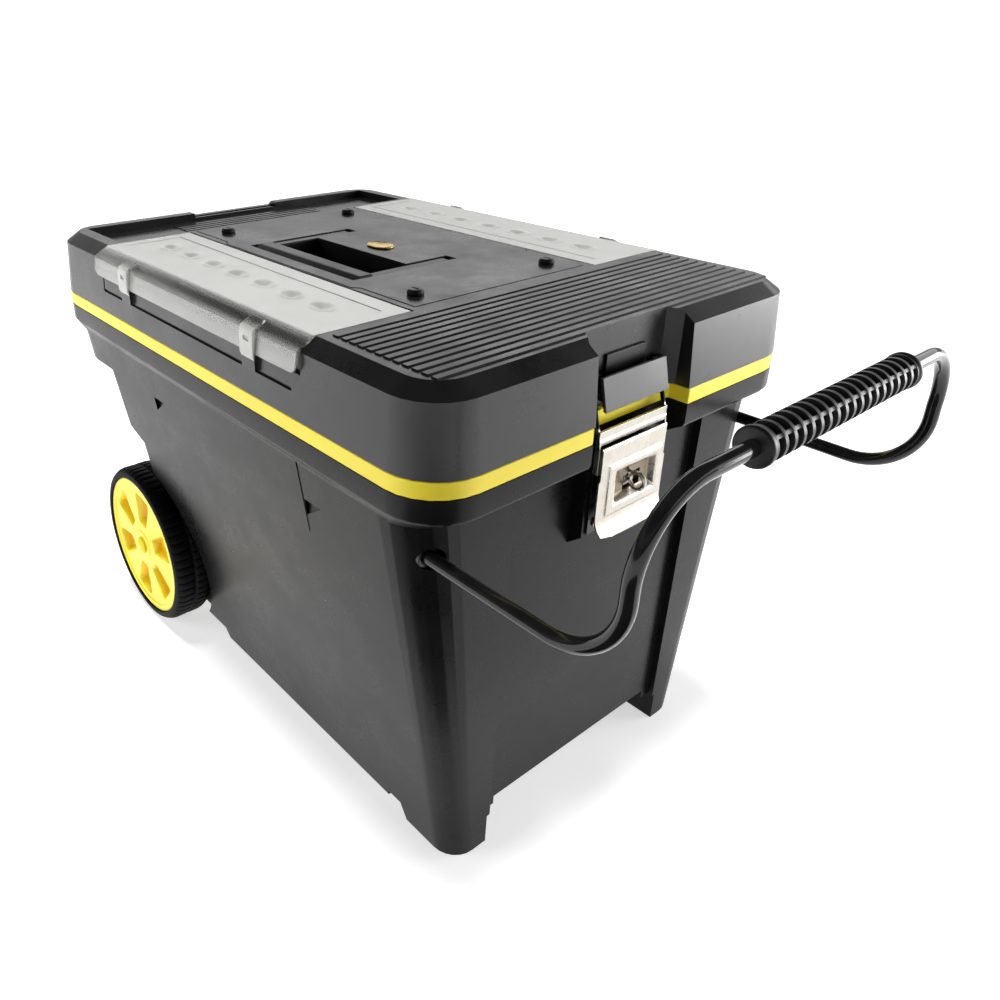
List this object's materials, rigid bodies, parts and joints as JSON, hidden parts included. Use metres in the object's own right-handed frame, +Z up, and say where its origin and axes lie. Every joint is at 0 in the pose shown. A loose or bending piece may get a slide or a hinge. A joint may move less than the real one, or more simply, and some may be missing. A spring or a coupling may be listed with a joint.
{
  "type": "wheeled carpenter toolbox",
  "caption": "Wheeled plastic tool chest with a hinged organiser lid, draw latch, folding carry handle, lift-out tray and sliding pull handle.",
  "frame": {"origin": "on the floor, under the centre of the overall box with the pull handle out as drawn", "axes": "+X along the chest towards the latch and pull handle, +Y towards its right long side, +Z up"},
  "size_m": [0.73, 0.4084, 0.4265],
  "materials": {
    "shell_plastic": "moulded dark grey plastic with a fine satin grain",
    "black_plastic": "moulded black plastic",
    "yellow_plastic": "moulded yellow plastic, semi-gloss",
    "cover_plastic": "clear to milky moulded plastic",
    "tray_plastic": "moulded black plastic, matt",
    "black_steel": "glossy black paint on steel",
    "bright_steel": "nickel-plated steel",
    "grip_rubber": "black ribbed rubber",
    "tyre_rubber": "black tyre rubber with worn, paler sidewall edges",
    "gold_badge": "plain gold-coloured oval"
  },
  "bodies": {
    "chest": {"chest_tub": "shell_plastic", "seal_band": "yellow_plastic", "latch_base": "black_steel", "latch_rivet_1": "bright_steel", "latch_rivet_2": "bright_steel", "latch_rivet_3": "bright_steel", "latch_rivet_4": "bright_steel", "padlock_eye": "bright_steel", "arm_bush_left": "black_plastic", "arm_bush_right": "black_plastic", "axle": "bright_steel", "axle_cap_left": "yellow_plastic", "axle_cap_right": "yellow_plastic", "lever_pin_left": "bright_steel", "lever_pin_right": "bright_steel", "hinge_pin_left": "bright_steel", "hinge_pin_right": "bright_steel"},
    "lid": {"lid_shell": "shell_plastic", "top_plate": "shell_plastic", "plate_screw_1": "black_plastic", "plate_screw_2": "black_plastic", "plate_screw_3": "black_plastic", "plate_screw_4": "black_plastic", "badge": "gold_badge", "carry_pivot_rear": "bright_steel", "carry_pivot_front": "bright_steel", "bin_divider_left": "tray_plastic", "bin_divider_right": "tray_plastic", "latch_keeper": "black_plastic"},
    "carry": {"carry_handle": "black_plastic"},
    "cover_l": {"cover_left": "cover_plastic", "cover_clip_left_1": "cover_plastic", "cover_clip_left_2": "cover_plastic"},
    "cover_r": {"cover_right": "cover_plastic", "cover_clip_right_1": "cover_plastic", "cover_clip_right_2": "cover_plastic"},
    "lever": {"latch_lever": "bright_steel", "bail_pin_left": "bright_steel", "bail_pin_right": "bright_steel"},
    "bail": {"latch_bail": "bright_steel"},
    "pull": {"pull_tube": "black_steel", "pull_grip": "grip_rubber", "arm_stop_left": "black_plastic", "arm_stop_right": "black_plastic"},
    "wheel_l": {"wheel_hub_left": "yellow_plastic", "tyre_left": "tyre_rubber"},
    "wheel_r": {"wheel_hub_right": "yellow_plastic", "tyre_right": "tyre_rubber"},
    "tray": {"tool_tray": "tray_plastic"}
  },
  "joints": [
    {"name": "lid_hinge", "type": "hinge", "parent": "chest", "child": "lid", "pos_m": [-0.359, 0, 0.3565], "axis": [0, -1, 0], "range_deg": [0, 100]},
    {"name": "latch_lift", "type": "hinge", "parent": "chest", "child": "lever", "pos_m": [0.2208, 0, 0.334], "axis": [0, -1, 0], "range_deg": [0, 95]},
    {"name": "bail_swing", "type": "hinge", "parent": "lever", "child": "bail", "pos_m": [0.2212, 0, 0.322], "axis": [0, -1, 0], "range_deg": [-86, 0]},
    {"name": "carry_fold", "type": "hinge", "parent": "lid", "child": "carry", "pos_m": [-0.073, 0.02, 0.415], "axis": [-1, 0, 0], "range_deg": [0, 90]},
    {"name": "cover_l_hinge", "type": "hinge", "parent": "lid", "child": "cover_l", "pos_m": [-0.071, -0.1026, 0.4196], "axis": [-1, 0, 0], "range_deg": [0, 92]},
    {"name": "cover_r_hinge", "type": "hinge", "parent": "lid", "child": "cover_r", "pos_m": [-0.071, 0.1026, 0.4196], "axis": [1, 0, 0], "range_deg": [0, 92]},
    {"name": "pull_slide", "type": "slide", "parent": "chest", "child": "pull", "axis": [1, 0, 0], "range_m": [-0.095, 0.24]},
    {"name": "wheel_l_spin", "type": "hinge", "parent": "chest", "child": "wheel_l", "pos_m": [-0.2535, -0.1685, 0.0875], "axis": [0, 1, 0], "continuous": true},
    {"name": "wheel_r_spin", "type": "hinge", "parent": "chest", "child": "wheel_r", "pos_m": [-0.2535, 0.1685, 0.0875], "axis": [0, 1, 0], "continuous": true},
    {"name": "tray_lift", "type": "slide", "parent": "chest", "child": "tray", "axis": [0, 0, 1], "range_m": [0, 0.025]}
  ],
  "couplings": [
    {"joint": "bail_swing", "follows": "latch_lift", "ratio": -0.885}
  ]
}
